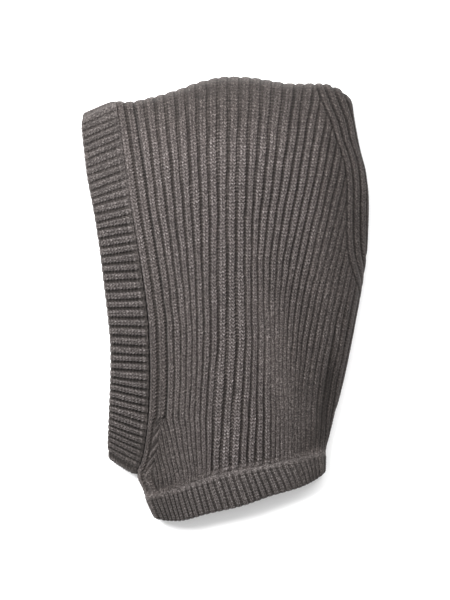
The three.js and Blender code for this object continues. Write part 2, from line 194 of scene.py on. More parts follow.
def near(distance, reach):
    """1 at no distance, and soft down to 0 over about twice the reach."""
    return np.exp(-(distance / reach) ** 2)


def unit(vectors):
    return vectors / np.linalg.norm(vectors, axis=-1, keepdims=True)


def curve(table, along, across):
    """A smooth curve through a table's points, without overshoot, that runs straight on past its ends."""
    given = np.array(table[along], float)
    found = np.array(table[across], float)
    run = np.diff(given)
    slope = np.diff(found) / run
    before, after = slope[:-1], slope[1:]
    total = np.where(before * after > 0, before + after, 1)
    middle = np.where(before * after > 0, 2 * before * after / total, 0)
    tangent = np.concatenate([slope[:1], middle, slope[-1:]])

    def at(value):
        value = np.asarray(value, float)
        i = np.clip(np.searchsorted(given, value) - 1, 0, len(run) - 1)
        t = np.clip((value - given[i]) / run[i], 0, 1)
        square, cube = t * t, t ** 3
        inside = (2 * cube - 3 * square + 1) * found[i] + (3 * square - 2 * cube) * found[i + 1]
        inside = inside + run[i] * ((cube - 2 * square + t) * tangent[i] + (cube - square) * tangent[i + 1])
        past = np.where(value < given[0], tangent[0] * (value - given[0]), 0)
        past = past + np.where(value > given[-1], tangent[-1] * (value - given[-1]), 0)
        return inside + past

    return at


front_at = curve(FRONT_EDGE, "y", "x")
back_at = curve(BACK_EDGE, "y", "x")
top_at = curve(TOP_EDGE, "x", "y")
neck_at = curve(NECK_LINE, "x", "y")
straight_at = curve(STRAIGHT_RIB, "y", "x")
throat_rib_at = curve(THROAT_RIB, "y", "x")
throat_marks_at = curve(THROAT_MARKS, "y", "x")
crown_marks_at = curve(CROWN_MARKS, "y", "x")
spread_at = [curve(dict(y=SPREAD_Y, x=away), "y", "x") for away in SPREAD]

# The lines between the body's ribs, each giving x for a height y on the fabric laid flat. Line 0 is the
# straight one, the lines to its left have negative numbers, and those past INNER_LINE fan out from the
# throat's marks.
MAIN_FIRST = -15
MAIN_LAST = 24
INNER_LINE = -8
FAN_PITCH = 3.75      # rib pitch beside the throat's shaping marks
SPLIT_Y = -100        # below this height the throat's shaping marks start
FRONT_RIBS = 2        # ribs that follow the face band
FRONT_STRIP = 16      # their width
BACK_RIBS = 5         # ribs that follow the back fold
BACK_PITCH = 6.1      # their width
BACK_WIDER = 1.5      # how much wider they are at the crown
BACK_WIDENING = (127, 170)  # from the first height to the second
SHORT_DROP = 1.6      # a short rib between the marks and the band falls this much for each mm to the side
SHORT_END = -154      # no short ribs below this height
NARROW_AT = -4        # the ribs about this line are narrower
NARROW_REACH = 2.2    # as far as this many lines away
NARROWER = 0.3        # by this share
NARROWING = (94, -50)       # from the first height down to the second
SWAY = 0.32           # how far a rib strays from its line
SLOW_SWAY = 17        # in long waves
QUICK_SWAY = 6.1      # and in short ones
QUICK_SHARE = 0.6     # that are weaker
dice = np.random.default_rng(7)
SWAY_STARTS = dice.uniform(0, 2 * math.pi, (MAIN_LAST - MAIN_FIRST + 1, 2))


def throat_closed(y):
    return 1 - smooth(CHIN_Y, CHIN_Y + OPENING_RUN, y)


def inner_line(y):
    return np.where(y > SPLIT_Y, front_at(y) + FRONT_STRIP, throat_rib_at(y))


def throat_line(y):
    return np.where(y > SPLIT_Y, front_at(y) + FRONT_STRIP, throat_marks_at(y))


def short_ribs(x, y):
    """Height of the short ribs between the throat's marks and the band: 0 in a groove, 1 on a crest."""
    start = y + SHORT_DROP * np.maximum(0, throat_marks_at(y) - x)
    count = np.maximum(0, throat_rib_at(start) - throat_marks_at(start)) / FAN_PITCH
    return 0.5 - 0.5 * np.cos(2 * math.pi * count)


def flat_back(y):
    return back_at(y) + FOLD_EXTRA


def away_right(rib, y):
    """How far a rib runs to the right of the straight one."""
    i = min(sum(rib > known for known in SPREAD_RIBS[1:]), len(SPREAD_RIBS) - 2)
    before, after = SPREAD_RIBS[i], SPREAD_RIBS[i + 1]
    return mix(spread_at[i](y), spread_at[i + 1](y), (rib - before) / (after - before))


def weight_left(rib, y):
    """How wide a rib to the left of the straight one is, beside its neighbours."""
    middle = (rib - NARROW_AT) / NARROW_REACH
    return 1 - NARROWER * smooth(*NARROWING, y) * math.exp(-middle * middle)


def main_line(rib, y):
    if rib < INNER_LINE:
        return inner_line(y) + (rib - INNER_LINE) * FAN_PITCH
    if rib >= 0:
        return straight_at(y) + away_right(rib, y)
    weights = [weight_left(i + 0.5, y) for i in range(INNER_LINE, 0)]
    part = sum(weights[: rib - INNER_LINE])
    return mix(inner_line(y), straight_at(y), part / sum(weights))


def sway(rib, y):
    slow, quick = SWAY_STARTS[rib - MAIN_FIRST]
    return SWAY * (np.sin(y / SLOW_SWAY + slow) + QUICK_SHARE * np.sin(y / QUICK_SWAY + quick))


def clipped_main_line(rib, y):
    x = np.maximum(main_line(rib, y) + sway(rib, y), throat_line(y))
    return np.minimum(np.minimum(x, crown_marks_at(y)), flat_back(y))


def front_strip_line(rib, y):
    """The ribs beside the band; they run on between the throat's fold and its shaping marks."""
    edge = front_at(y) - FOLD_EXTRA * throat_closed(y)
    return mix(edge, throat_line(y), rib / FRONT_RIBS)


def back_strip_line(rib, y):
    pitch = BACK_PITCH + BACK_WIDER * smooth(*BACK_WIDENING, y)
    return np.minimum(crown_marks_at(y) + rib * pitch, flat_back(y))


RIBS = [(front_strip_line, rib) for rib in range(FRONT_RIBS)]
RIBS += [(clipped_main_line, rib) for rib in range(MAIN_FIRST, MAIN_LAST)]
RIBS += [(back_strip_line, rib) for rib in range(BACK_RIBS)]


# How the fabric lies


def in_spot(x, y, spot_x, spot_y, long, wide, turn):
    """How far places lie along and across a spot, in its lengths and widths."""
    cos, sin = math.cos(math.radians(turn)), math.sin(math.radians(turn))
    along = ((x - spot_x) * cos + (y - spot_y) * sin) / long
    across = ((y - spot_y) * cos - (x - spot_x) * sin) / wide
    return along, across


def spots(table, x, y):
    """How strongly the soft-edged spots of a table show at a place."""
    total = np.zeros_like(x)
    for *spot, share in table:
        along, across = in_spot(x, y, *spot)
        total = 1 - (1 - total) * (1 - share * np.exp(-(along ** 2 + across ** 2) ** 2))
    return total


def puff(x, y):
    """Height of the upper side over the folded thickness."""
    from_back = np.maximum(0, back_at(y) - x)
    from_top = np.maximum(0, top_at(x) - y)
    from_front = np.maximum(0, x - front_at(y))
    from_neck = np.maximum(0, y - neck_at(x))
    folds = (1 - np.exp(-from_back / BACK_REACH)) * (1 - np.exp(-from_top / TOP_REACH))
    front = np.exp(-from_front / FRONT_REACH)
    neck = np.exp(-from_neck / NECK_REACH)
    face_share = np.clip((y - CHIN_Y) / (top_at(front_at(y)) - CHIN_Y), 0, 1)
    neck_from, neck_to = NECK_LINE["x"][0], NECK_LINE["x"][-1]
    neck_share = np.clip((x - neck_from) / (neck_to - neck_from), 0, 1)
    height = PUFF * folds * (1 - front) * (1 - neck)
    height = height + BAND_GAPE * np.sin(math.pi * face_share).clip(0) ** GAPE_POWER * front
    height = height + HEM_GAPE * np.sin(math.pi * neck_share).clip(0) ** GAPE_POWER * neck
    for *spot, swell in DENTS:
        along, across = in_spot(x, y, *spot)
        height = height + swell * np.exp(-along ** 2 - across ** 2) * folds * (1 - front) * (1 - neck)
    return height


def lift(x, y):
    """Height of the under side over the floor."""
    return LIFT * np.maximum(near(x - front_at(y), LIFT_REACH), near(y - neck_at(x), LIFT_REACH))


def fold_at(flat):
    """Distance from the outline, and the turn, of fabric that lies `flat` from a fold's middle."""
    turn = np.clip(flat, 0, FOLD_ARC) / FOLD_R
    inward = np.where(flat >= FOLD_ARC, flat - FOLD_EXTRA, FOLD_R * (1 - np.cos(turn)))
    return inward, turn


def steepness(line, at):
    return line(at + 0.5) - line(at - 0.5)


FIRST_GUESS = (-150, 185)   # heights from the neck to the top fold, before a place is known
ROUNDS = 14                 # a place is found in this many rounds
SEAM_TURN = 10              # the upper side turns up from the seams over this length


def body_points(rib, share, up, side):
    """Places at rib crest level, normals and rib widths, for arrays of shares across and up one rib."""
    line, number = RIBS[rib]
    y = mix(*FIRST_GUESS, up)
    for _ in range(ROUNDS):
        left, right = line(number, y), line(number + 1, y)
        flat_x = mix(left, right, share)
        back_in, back_turn = fold_at(flat_back(y) - flat_x)
        throat_in, throat_turn = fold_at(flat_x - front_at(y) + FOLD_EXTRA)
        closed = throat_closed(y)
        throat_turn = mix(math.pi / 2, throat_turn, closed)
        x = np.where(flat_back(y) - flat_x < FOLD_ARC, back_at(y) - back_in, flat_x)
        at_throat = flat_x - front_at(y) + FOLD_EXTRA < FOLD_ARC
        x = np.where(at_throat, mix(flat_x, front_at(y) + throat_in, closed), x)
        flat_y = mix(neck_at(x), top_at(x) + FOLD_EXTRA, up)
        top_in, top_turn = fold_at(top_at(x) + FOLD_EXTRA - flat_y)
        y = top_at(x) - top_in
    spread = np.sin(back_turn) * np.sin(top_turn) * np.sin(throat_turn)
    base = lift(x, y) + FOLD_R
    height = (FOLD_R + puff(x, y)) * spread if side > 0 else -FOLD_R * spread
    from_face = smooth(0, SEAM_TURN, x - front_at(y))
    from_neck = smooth(0, SEAM_TURN, y - neck_at(x))
    normal = np.stack([np.zeros_like(x), np.zeros_like(x), np.full_like(x, side)], -1)
    if side > 0:
        normal[..., 0] = from_face * from_neck * (puff(x - 0.5, y) - puff(x + 0.5, y))
        normal[..., 1] = from_face * from_neck * (puff(x, y - 0.5) - puff(x, y + 0.5))
    normal *= spread[..., None]
    one, none = np.ones_like(x), np.zeros_like(x)
    neck_slope = steepness(neck_at, x)
    back_lean = mix(neck_slope, -steepness(back_at, y), from_neck)
    top_lean = mix(steepness(front_at, y), -steepness(top_at, x), from_face)
    throat_lean = mix(-neck_slope, steepness(front_at, y), from_neck)
    normal += unit(np.stack([one, back_lean, none], -1)) * np.cos(back_turn)[..., None]
    normal += unit(np.stack([top_lean, one, none], -1)) * np.cos(top_turn)[..., None]
    normal += unit(np.stack([-one, throat_lean, none], -1)) * np.cos(throat_turn)[..., None]
    return np.stack([x, y, base + height], -1), unit(normal), right - left


# The stitches of one rib, which is two columns of knit stitches and a groove of purl stitches
GROOVE = 2.8          # depth of a groove between two ribs
SHUT_DEPTH = 1.1      # how much of it a groove has between ribs that are pushed together
OPEN_LOSS = 0.35      # how much less between ribs that are pulled apart
STITCH_SWING = 0.52   # how far a stitch's leg stands over the gap to the next one
UNEVEN = 0.4          # how unlike two stitches may be
PURL_SWING = 0.55     # how far a purl stitch stands out in an open groove
PURL_LIGHT = 0.3      # and how light it is, against its groove's painted shade
BODY_STITCHES = 117   # from the hem to the middle of the top fold
PIT = 0.95            # how much painted shade darkens the gap between two legs
LEG_SLANT = 0.7       # a stitch's leg climbs this share of a stitch from its foot to its shoulder
STRAIGHT_ENDS = 2     # but less and less over this many stitches at the ribs' ends

# Across the rib: share of its width, slant share, height under the crest, swing of the legs, lightness,
# which paints shade into the groove and the gaps between legs
STITCH_COLUMNS = [
    (0.00, 1.0, -1.00, 0.0, 0.00),
    (0.17, 1.0, -0.80, 1.2, 0.20),
    (0.25, 0.5, -0.20, 1.0, 1.00),
    (0.33, 0.0, -0.20, 0.7, 0.72),
    (0.41, 0.5, 0.00, 1.0, 1.00),
    (0.50, 1.0, -0.28, 0.6, 0.30),
    (0.59, 0.5, 0.00, 1.0, 1.00),
    (0.67, 0.0, -0.20, 0.7, 0.72),
    (0.75, 0.5, -0.20, 1.0, 1.00),
    (0.83, 1.0, -0.80, 1.2, 0.20),
]
PER_RIB = len(STITCH_COLUMNS)
EDGE_ZIGZAG = 0.055   # how far a rib's edge steps out and in with each stitch, as a share of its width
ZIGZAG = np.array([0, -EDGE_ZIGZAG] + [0] * (PER_RIB - 3) + [EDGE_ZIGZAG])
SHARES, SLANTS, HEIGHTS, SWINGS, LIGHTS = np.array(STITCH_COLUMNS).T


def stitch_rows(stitches, slants):
    """Row places along the ribs, in stitches: two to a stitch, and slanted as the stitches' legs are."""
    rows = np.arange(2 * stitches + 1) / 2
    fade = smooth(0, STRAIGHT_ENDS, rows) * smooth(0, STRAIGHT_ENDS, stitches - rows)
    return np.clip(rows + slants * LEG_SLANT * fade, 0, stitches)


def in_and_out(rows):
    return np.where(np.arange(rows) % 2 == 0, 1.0, -1.0)


def stitch_relief(columns, rows, open_share, calm=0):
    """Height over the crest level, lightness with painted shade in the grooves and the gaps between legs,
    and a tone for each stitch, for a strip of ribs.
    """
    swing = in_and_out(rows)[None, :] * (1 - calm)
    column = np.arange(columns)
    heights, swings, lights = (part[column % PER_RIB][:, None] for part in (HEIGHTS, SWINGS, LIGHTS))
    leg = (2 * column) // PER_RIB
    stitch = np.arange(rows) // 2
    uneven = dice.uniform(-1, 1, (leg[-1] + 1, stitch[-1] + 1))[leg][:, stitch]
    purl = (swings == 0) * swing * open_share
    height = GROOVE * heights * (SHUT_DEPTH - OPEN_LOSS * open_share)
    height = height + STITCH_SWING * swings * swing * (1 + UNEVEN * uneven)
    height = height + PURL_SWING * purl
    # painted shade in the gaps between legs
    pits = np.minimum(swings * swing, 0)
    pits = pits - 0.5 * swings * calm     # so that calm stitches are as light as the others on the whole
    light = lights * (1 + PIT * pits) + PURL_LIGHT * (1 + purl) * (swings == 0) * open_share
    return height, np.clip(light, 0, 1), uneven


# Pieces
UV_MAP = "OFBake"
SAME_PLACE = 0.0002   # points nearer than this are one point
SHARP_FROM = 80       # an edge that turns more than this, in degrees, is sharp


def deselect_all():
    bpy.ops.object.select_all(action="DESELECT")


def new_piece(name):
    piece = bpy.context.object
    piece.name = piece.data.name = name
    return piece


def add_values(piece, name, values):
    layer = piece.data.attributes.new(name, "FLOAT", "POINT")
    layer.data.foreach_set("value", np.asarray(values, np.float32).ravel())


def add_grid(name, places, light, tone):
    """A grid whose points, column by column, get these places and values."""
    deselect_all()
    bpy.ops.mesh.primitive_grid_add(
        x_subdivisions=places.shape[0] - 1, y_subdivisions=places.shape[1] - 1, size=1,
    )
    piece = new_piece(name)
    shifted = (places.transpose(1, 0, 2) - np.array([MIDDLE[0], MIDDLE[1], 0])) * MM
    piece.data.vertices.foreach_set("co", shifted.astype(np.float32).ravel())
    piece.data.update()
    # the 'light' values carry the painted shade that the wool's colour is multiplied by
    add_values(piece, "light", light.T)
    add_values(piece, "tone", tone.T)
    piece.data.uv_layers[0].name = UV_MAP
    return piece


def open_form(piece):
    form = bmesh.new()
    form.from_mesh(piece.data)
    form.verts.ensure_lookup_table()
    return form


def close_form(piece, form, inside_out):
    """Join the points that meet, turn the faces outward, and give the form back to its piece."""
    bmesh.ops.remove_doubles(form, verts=form.verts, dist=SAME_PLACE * MM)
    if inside_out:
        bmesh.ops.reverse_faces(form, faces=form.faces)
    form.to_mesh(piece.data)
    form.free()


def finish_piece(piece, material, node):
    deselect_all()
    piece.select_set(True)
    bpy.context.view_layer.objects.active = piece
    bpy.ops.object.shade_smooth_by_angle(angle=math.radians(SHARP_FROM))
    piece.data.materials.append(material)
    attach(piece, "root")
    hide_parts(node)


TIGHT = (110, -30)    # the face seam is pulled in from the first height down to the second
LOOSEST = 0.12        # how tight it is above them


def tightness(y):
    """How tightly the face seam is pulled in, from the crown down to the chin."""
    return mix(LOOSEST, 1, smooth(*TIGHT, y))


# The body's two sides
SLIVER = 0.3          # a rib narrower than this has ended
FULL_RIB = 3.2        # and one as wide as this has its full height
GROOVES_OPEN = (7.4, 9.0)   # widths of ribs between which their grooves open
LEAST_OPEN = 0.3      # how open the grooves of narrower ribs are
CALM = 0.32           # how much fainter the stitches' legs are towards the crown
CALMING = (90, 150)   # from the first height to the second
NARROW_RIBS = (3, 7.6)      # widths of ribs between which their relief grows
NARROW_RELIEF = 0.5   # relief of the narrowest
NARROW_LEVEL = -0.9   # level and lightness that it is drawn to
NARROW_LIGHT = 0.31
FOLD_FLATTER = 0.4    # how much flatter the ribs are where the fabric stands upright
SHORT_FADE = (5, 7)   # the short ribs fade in and out over these heights, at the top and at their end
SHORT_EDGE = (4, 1)   # and over these distances past the marks
SHORT_CREST = -0.1    # crests of the short ribs, as a share of a groove's depth
MARKS_LIGHT = (0.05, 0.85)  # lightness of their grooves and crests at the marks
STRIP_LIGHT = (0.03, 1)     # and in the strip beside the band
STITCH_LIGHT = 0.4    # how much of the stitches' own lightness shows there
STRIP_EDGE = (0.05, 0.25)   # shares of the strip's second rib over which they begin
EVEN_BELOW = 0.2      # how even the under side is
EVEN_LEVEL = -0.8     # level of fabric whose ribs hardly show
EVEN_LEFT = 0.35      # and how much of their height is left
EVEN_LIGHT = 0.25     # its lightness
EVEN_LIGHT_LEFT = 0.31      # and how much of theirs is left
PARTING = 3.4         # how much flatter the ribs are where the two sides part at the chin
PARTING_REACH = 2.5
LOOSE_LEVEL = -0.7    # level and lightness of the face seam where nothing pulls it in
LOOSE_LIGHT = 0.45
LOOSE_REACH = 2.0
PAST_THROAT = 30      # the throat's closed fold counts as this far from the face seam
FACE_DIP = 1.5        # how deep the face seam is pulled in
FACE_DIP_REACH = 2.2
FACE_SHADE = 0.75     # and how much painted shade darkens it
FACE_SHADE_REACH = 1.6
HEM_DIP = 0.1         # the same at the hem's seam
HEM_DIP_REACH = 2.0
HEM_FLATTER = 0.75    # how much flatter the ribs are there
HEM_FLAT_REACH = 4
HEM_SEAM_LIGHT = 0.42
LINING_SHARES = [0, 0.5]
LINING_RIDGE = 0.35   # how far the lining's ridges stand out, behind the crests
LINING_LIGHT = 0.6
LOW_RIM = 0.02        # the map keeps this much room for the rims, below and above
HIGH_RIM = 0.98
RIM_PART = 0.035      # how far towards the map's middle a rim reaches


def rib_points(rib, side, rows):
    """Places, normals and widths along the columns of one rib's stitches."""
    last = rib == len(RIBS) - 1
    shares = np.append(SHARES, 1) if last else SHARES
    slants = np.append(SLANTS, 1) if last else SLANTS
    zigzag = np.append(ZIGZAG, 0) if last else ZIGZAG
    level = np.broadcast_to(np.linspace(0, 1, rows), (len(shares), rows))
    shares = shares[:, None] + zigzag[:, None] * in_and_out(rows)
    _, _, width = body_points(rib, shares, level, side)
    ended = width.max(axis=0) < SLIVER
    shares = np.where(ended, 0, shares)
    width = np.where(ended, 0, width)
    slants = slants[:, None] * smooth(0, FULL_RIB, width)
    up = stitch_rows(BODY_STITCHES, slants) / BODY_STITCHES
    place, normal, _ = body_points(rib, shares, up, side)
    return place, normal, width


def side_relief(place, normal, width, side):
    """Height over the crest level, lightness and tone of one side's stitches; the lightness holds painted
    shade in the grooves, creases and seams.
    """
    columns, rows = width.shape
    x, y = place[..., 0], place[..., 1]
    open_share = LEAST_OPEN + (1 - LEAST_OPEN) * smooth(*GROOVES_OPEN, width)
    height, light, tone = stitch_relief(columns, rows, open_share, CALM * smooth(*CALMING, y))
    wide = mix(NARROW_RELIEF, 1, smooth(*NARROW_RIBS, width))
    height = mix(NARROW_LEVEL, height, wide)
    light = mix(NARROW_LIGHT, light, wide)

    short = short_ribs(x, y)
    short_height = mix(-GROOVE, SHORT_CREST * GROOVE, short)
    fade_in, fade_out = SHORT_FADE
    by_marks = smooth(SPLIT_Y, SPLIT_Y - fade_in, y) * smooth(SHORT_END, SHORT_END + fade_out, y)
    by_marks = by_marks * smooth(*SHORT_EDGE, x - throat_marks_at(y))
    in_strip = np.zeros(columns)
    in_strip[PER_RIB:2 * PER_RIB] = smooth(*STRIP_EDGE, SHARES)
    in_strip = in_strip[:, None] * by_marks
    crest = smooth(0, FULL_RIB, width)
    height = mix(mix(-GROOVE, short_height, by_marks), height, crest)
    height = mix(height, short_height, in_strip) * (1 - FOLD_FLATTER * (1 - abs(normal[..., 2])))
    light = mix(mix(*MARKS_LIGHT, short) * by_marks, light, crest)
    light = mix(light, mix(*STRIP_LIGHT, short) * (1 - STITCH_LIGHT + STITCH_LIGHT * light), in_strip)

    even = spots(EVEN_SPOTS, x, y) if side > 0 else EVEN_BELOW
    height = mix(height, EVEN_LEVEL + EVEN_LEFT * height, even)
    light = mix(light, EVEN_LIGHT + EVEN_LIGHT_LEFT * light, even)
    # painted shade of the creases, hollows and slopes, and painted light where the share is below zero
    light = light * (1 - spots(PAINTED_SHADE_SPOTS, x, y))

    closed = throat_closed(y)
    from_front = np.clip(x - front_at(y), 0, None)
    from_face = from_front + PAST_THROAT * closed
    from_hem = np.clip(y - neck_at(x), 0, None)
    height = height * (1 - PARTING * closed * (1 - closed) * near(from_front, PARTING_REACH))
    pulled = tightness(y)
    loose = near(from_face, LOOSE_REACH) * (1 - pulled)
    height = mix(height, LOOSE_LEVEL, loose)
    light = mix(light, LOOSE_LIGHT, loose)
    flatten = 1 - HEM_FLATTER * near(from_hem, HEM_FLAT_REACH)
    dip = FACE_DIP * pulled * near(from_face, FACE_DIP_REACH) + HEM_DIP * near(from_hem, HEM_DIP_REACH)
    light = mix(HEM_SEAM_LIGHT, light, flatten)
    # painted shade along the pulled-in face seam
    light = light * (1 - FACE_SHADE * pulled * near(from_face, FACE_SHADE_REACH))
    return height * flatten - dip, light, tone


def lining_points(side, rows):
    """Places of the lining's columns, from the back to the face, and the knit column that each backs."""
    level = np.linspace(0, 1, rows)[None, :]
    places, behind = [], []
    for rib in range(len(RIBS) - 1, -1, -1):
        _, _, width = body_points(rib, np.zeros_like(level), level, side)
        ended = width < SLIVER
        at_back = [1] if rib == len(RIBS) - 1 else []
        for share in at_back + LINING_SHARES[::-1]:
            ridge = LINING_RIDGE if share == 0.5 else -LINING_RIDGE
            ridge = np.where(ended, 0, ridge * smooth(0, FULL_RIB, width))
            place, normal, _ = body_points(rib, np.where(ended, 0, share), level, side)
            places.append((place - normal * (WALL - ridge)[..., None])[0])
            behind.append(rib * PER_RIB + round(share * PER_RIB))
    return np.array(places), behind


def leave_rim_room(piece):
    """Move the piece's map in, so that its rims fit below and above."""
    layer = piece.data.uv_layers[UV_MAP]
    corners = np.zeros(2 * len(piece.data.loops), np.float32)
    layer.data.foreach_get("uv", corners)
    corners = corners.reshape(-1, 2)
    corners[:, 1] = mix(LOW_RIM, HIGH_RIM, corners[:, 1])
    layer.data.foreach_set("uv", corners.ravel())


def add_rims(form, columns, across, rows, behind):
    """Faces between the knit face and the lining, along the hem's seam and along the top fold."""
    uv = form.loops.layers.uv[UV_MAP]
    for row, rim in ((0, 0.0), (rows - 1, 1.0)):
        for i in range(len(behind) - 1):
            ring = list(range(behind[i + 1], behind[i] + 1)) + [columns + i, columns + i + 1]
            if row == 0:
                ring.reverse()
            face = form.faces.new([form.verts[row * across + k] for k in ring])
            if row == 0:
                for edge in face.edges:
                    edge.smooth = False
            for corner in face.loops:
                k = corner.vert.index - row * across
                if k < columns:
                    corner[uv].uv = (k / across, mix(rim, 0.5, RIM_PART))
                else:
                    corner[uv].uv = (behind[k - columns] / across, rim)


def make_side(name, side):
    """One side of the body: its knit face, its lining and the rims between them, as one closed wall."""
    rows = 2 * BODY_STITCHES + 1
    ribs = [rib_points(rib, side, rows) for rib in range(len(RIBS))]
    place, normal, width = (np.concatenate(part) for part in zip(*ribs))
    height, light, tone = side_relief(place, normal, width, side)
    outer = place + normal * height[..., None]
    outer[..., 2] = np.maximum(outer[..., 2], ON_FLOOR)
    lining, behind = lining_points(side, rows)
    plain = np.zeros((len(lining), rows))
    ring = np.concatenate([outer, lining, outer[:1]])
    lights = np.concatenate([light, plain + LINING_LIGHT, light[:1]])
    tones = np.concatenate([tone, plain, tone[:1]])
    piece = add_grid(name, ring, lights, tones)
    leave_rim_room(piece)
    form = open_form(piece)
    add_rims(form, len(outer), len(ring), rows, behind)
    close_form(piece, form, side < 0)
    return piece


# The face band and the neck hem
BAND_PITCH = 7.0      # mean rib pitch along the face opening
HEM_PITCH = 4.45      # mean rib pitch along the neck
LOOP_STITCHES = 25    # round a strip, from its seam over its free edge and back
CORNER = 0.1          # how much narrower the band and the hem get at their two ends
CORNER_RUN = 6        # over about this length
GAPE_LOSS = 0.3       # how much less a strip gapes at its free edge than at its seam
WANDER = 0.07         # how far a rib of the band or the hem strays, as a share of its width
WANDER_RUN = 7.5      # over about this many rows
LOOP_OPEN = 0.3       # how open its grooves are
FLAT_BY_SEAM = 4      # as far as this from its seam, a strip's surface doesn't face the body
UNDER_RELIEF = 0.45   # how strong the ribs are on a strip's inner side
NOSE_FLATTER = 0.65   # how much flatter they are round its free edge
WORN_FLATTER = 0.7    # and where they hardly show
WORN_LIGHT = 0.38
DEEP_RELIEF = 0.2     # how much stronger they are where the face band's grooves are deep
DEEPER_LOW = 0.5      # how much more painted shade darkens those grooves
PLAIN_LEVEL = -0.35   # level and lightness of a strip beside its seam, before its ribs start
PLAIN_LIGHT = 0.5
PLAIN_FADE = 3
SWELL = 1.2           # how far a strip swells between its seam and its free edge
SEAM_DIP_REACH = 2.0
INNER_DIP = 0.3       # share of the seam's dip that the inner side has
BULGE_REACH = 1.8
DIP_SHADE = 0.5       # how much painted shade darkens the seam's dip
CHIN_SHARE = 0.0565   # the chin lies at this share of the way up the body's front edge
SEAM_STEPS = 60       # places of that edge that the band's seam is found from

# Where the ribs hardly show and where painted shade darkens a strip: share, and the places from and to which
# it grows
BAND_WORN = [(0.35, 60, 115), (0.4, 140, 160), (0.35, -100, -145)]
BAND_SHADED = [(0.36, -85, -145)]
BAND_DEEP = [(1, 90, 0)]
HEM_WORN = [(0.6, 35, 85)]
HEM_SHADED = [(0.48, 40, 88), (0.36, -22, -64)]
HEM_TIGHTNESS = 0.2


def seam_of_band(y):
    """The band is linked on just outside the body's front edge."""
    up = np.linspace(CHIN_SHARE, 1, SEAM_STEPS)
    place, _, _ = body_points(0, np.zeros_like(up), up, 1)
    return np.interp(y, place[:, 1], place[:, 0]) - SEAM_GAP, y


def seam_of_hem(x):
    return x, neck_at(x) - SEAM_GAP


def grown(table, at):
    return sum(share * smooth(start, end, at) for share, start, end in table)


def band_fading_and_shade(place):
    """How faint the band's ribs are, how deep its grooves, how much painted shade darkens its lower end, and
    how tight its seam.
    """
    y = place[..., 1]
    worn = grown(BAND_WORN, y)
    return worn, grown(BAND_DEEP, y) * (1 - worn), grown(BAND_SHADED, y), tightness(y)


def hem_fading_and_shade(place):
    """The same for the hem, whose grooves are nowhere deeper; its painted shade darkens its two ends."""
    x = place[..., 0]
    return grown(HEM_WORN, x), 0, grown(HEM_SHADED, x), HEM_TIGHTNESS


def loop_path(start, end, thickness, seam_line, edge_table, crowding):
    """Places in the middle of a loop's thickness, by the way round and the share across, and its length."""
    radius = FOLD_R + LIFT - thickness / 2
    inset = radius + thickness / 2
    straight = end - start - 2 * inset
    half_turn = math.pi * radius
    total = 2 * straight + 2 * half_turn
    edge_x, edge_y = curve(edge_table, "seam", "x"), curve(edge_table, "seam", "y")
    crowded = curve(crowding, "even", "x")

    def centre(travel, share):
        travel = travel % total
        before = [travel < straight, travel < straight + half_turn, travel < 2 * straight + half_turn]
        leg = np.select(before, [0, 1, 2], 3)
        first_turn = (travel - straight) / radius
        second_turn = (travel - 2 * straight - half_turn) / radius
        at = np.choose(leg, [
            start + inset + travel,
            end - inset + radius * np.sin(first_turn),
            end - inset - (travel - straight - half_turn),
            start + inset - radius * np.sin(second_turn),
        ])
        upper = np.choose(leg, [1, np.cos(first_turn), -1, -np.cos(second_turn)])
        at = crowded(at)
        seam_x, seam_y = seam_line(at)
        from_end = np.minimum(at - start, end - at)
        share = share * (1 - CORNER * near(from_end, CORNER_RUN))
        gape = puff(seam_x, seam_y) * np.clip(upper, 0, None) * (1 - GAPE_LOSS * share)
        height = radius + thickness / 2 + radius * upper + gape
        return np.stack([mix(seam_x, edge_x(at), share), mix(seam_y, edge_y(at), share), height], -1)

    return centre, total


def close_round(values):
    """A loop's values with its first column and its first row again at the end."""
    values = np.concatenate([values, values[:1]])
    return np.concatenate([values, values[:, :1]], 1)


